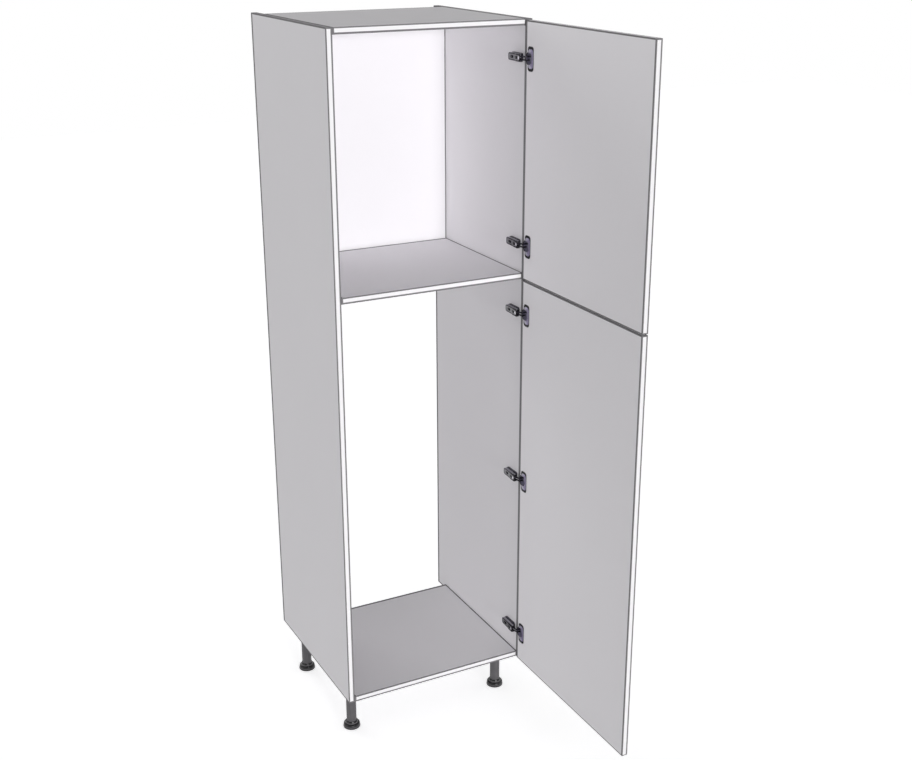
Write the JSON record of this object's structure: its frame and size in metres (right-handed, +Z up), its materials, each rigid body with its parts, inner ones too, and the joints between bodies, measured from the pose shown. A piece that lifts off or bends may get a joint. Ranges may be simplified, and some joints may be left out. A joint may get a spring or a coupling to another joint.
{
  "type": "fridge housing unit",
  "caption": "Tall kitchen housing for a built-in fridge and freezer: board carcass with a backed upper niche, an open-backed lower niche, slab doors on concealed hinges, and adjustable legs.",
  "frame": {"origin": "on the floor, under the middle of the unit's box as it stands with both doors open square to the front", "axes": "+Z up, the carcass front and the open doors towards -Y, the hinge side towards +X"},
  "size_m": [0.6, 1.1626, 2.12],
  "materials": {
    "white_board": "white melamine-faced chipboard, fine pearl grain, matt",
    "white_door": "smooth white foil-faced board, satin",
    "nickel_cup": "nickel-plated pressed steel with a purple-grey cast",
    "arm_steel": "dark nickel-plated pressed steel",
    "link_steel": "nickel-plated steel strap",
    "pin_steel": "bright steel wire",
    "plate_steel": "dark nickel-plated die casting",
    "socket_plastic": "black moulded plastic",
    "tube_plastic": "dark grey moulded plastic, fine texture",
    "foot_plastic": "black moulded plastic"
  },
  "bodies": {
    "carcass": {"left_side_panel": "white_board", "right_side_panel": "white_board", "bottom_panel": "white_board", "fixed_shelf": "white_board", "top_panel": "white_board", "niche_back_panel": "white_board", "front_left_leg_socket": "socket_plastic", "front_left_leg_tube": "tube_plastic", "front_left_leg_foot": "foot_plastic", "front_right_leg_socket": "socket_plastic", "front_right_leg_tube": "tube_plastic", "front_right_leg_foot": "foot_plastic", "rear_left_leg_socket": "socket_plastic", "rear_left_leg_tube": "tube_plastic", "rear_left_leg_foot": "foot_plastic", "rear_right_leg_socket": "socket_plastic", "rear_right_leg_tube": "tube_plastic", "rear_right_leg_foot": "foot_plastic", "upper_bottom_hinge_mounting_plate": "plate_steel", "upper_bottom_hinge_arm": "arm_steel", "upper_bottom_hinge_arm_staple": "pin_steel", "upper_top_hinge_mounting_plate": "plate_steel", "upper_top_hinge_arm": "arm_steel", "upper_top_hinge_arm_staple": "pin_steel", "lower_bottom_hinge_mounting_plate": "plate_steel", "lower_bottom_hinge_arm": "arm_steel", "lower_bottom_hinge_arm_staple": "pin_steel", "lower_middle_hinge_mounting_plate": "plate_steel", "lower_middle_hinge_arm": "arm_steel", "lower_middle_hinge_arm_staple": "pin_steel", "lower_top_hinge_mounting_plate": "plate_steel", "lower_top_hinge_arm": "arm_steel", "lower_top_hinge_arm_staple": "pin_steel"},
    "upper_door": {"upper_door": "white_door", "upper_bottom_hinge_cup": "nickel_cup", "upper_bottom_hinge_outer_cup_pin": "pin_steel", "upper_bottom_hinge_inner_cup_pin": "pin_steel", "upper_top_hinge_cup": "nickel_cup", "upper_top_hinge_outer_cup_pin": "pin_steel", "upper_top_hinge_inner_cup_pin": "pin_steel"},
    "upper_outer_links": {"upper_bottom_hinge_outer_link": "link_steel", "upper_top_hinge_outer_link": "link_steel"},
    "upper_inner_links": {"upper_bottom_hinge_inner_link": "link_steel", "upper_top_hinge_inner_link": "link_steel"},
    "lower_door": {"lower_door": "white_door", "lower_bottom_hinge_cup": "nickel_cup", "lower_bottom_hinge_outer_cup_pin": "pin_steel", "lower_bottom_hinge_inner_cup_pin": "pin_steel", "lower_middle_hinge_cup": "nickel_cup", "lower_middle_hinge_outer_cup_pin": "pin_steel", "lower_middle_hinge_inner_cup_pin": "pin_steel", "lower_top_hinge_cup": "nickel_cup", "lower_top_hinge_outer_cup_pin": "pin_steel", "lower_top_hinge_inner_cup_pin": "pin_steel"},
    "lower_outer_links": {"lower_bottom_hinge_outer_link": "link_steel", "lower_middle_hinge_outer_link": "link_steel", "lower_top_hinge_outer_link": "link_steel"},
    "lower_inner_links": {"lower_bottom_hinge_inner_link": "link_steel", "lower_middle_hinge_inner_link": "link_steel", "lower_top_hinge_inner_link": "link_steel"}
  },
  "joints": [
    {"name": "upper_outer_links_swing", "type": "hinge", "parent": "carcass", "child": "upper_outer_links", "pos_m": [0.266, 0.0255, 1.758], "axis": [0, 0, 1], "range_deg": [-0.6, 10]},
    {"name": "upper_door_swing", "type": "hinge", "parent": "upper_outer_links", "child": "upper_door", "pos_m": [0.2857, 0.0053, 1.758], "axis": [0, 0, 1], "range_deg": [-99.9, 5.5]},
    {"name": "upper_inner_links_swing", "type": "hinge", "parent": "carcass", "child": "upper_inner_links", "pos_m": [0.266, 0.0325, 1.758], "axis": [0, 0, 1], "range_deg": [-1, 17.2]},
    {"name": "lower_outer_links_swing", "type": "hinge", "parent": "carcass", "child": "lower_outer_links", "pos_m": [0.266, 0.0255, 0.7735], "axis": [0, 0, 1], "range_deg": [-0.6, 10]},
    {"name": "lower_door_swing", "type": "hinge", "parent": "lower_outer_links", "child": "lower_door", "pos_m": [0.2857, 0.0053, 0.7735], "axis": [0, 0, 1], "range_deg": [-99.9, 5.5]},
    {"name": "lower_inner_links_swing", "type": "hinge", "parent": "carcass", "child": "lower_inner_links", "pos_m": [0.266, 0.0325, 0.7735], "axis": [0, 0, 1], "range_deg": [-1, 17.2]}
  ],
  "couplings": [
    {"joint": "upper_outer_links_swing", "follows": "upper_door_swing", "ratio": -0.0991},
    {"joint": "upper_inner_links_swing", "follows": "upper_door_swing", "ratio": -0.1712},
    {"joint": "lower_outer_links_swing", "follows": "lower_door_swing", "ratio": -0.0991},
    {"joint": "lower_inner_links_swing", "follows": "lower_door_swing", "ratio": -0.1712}
  ]
}
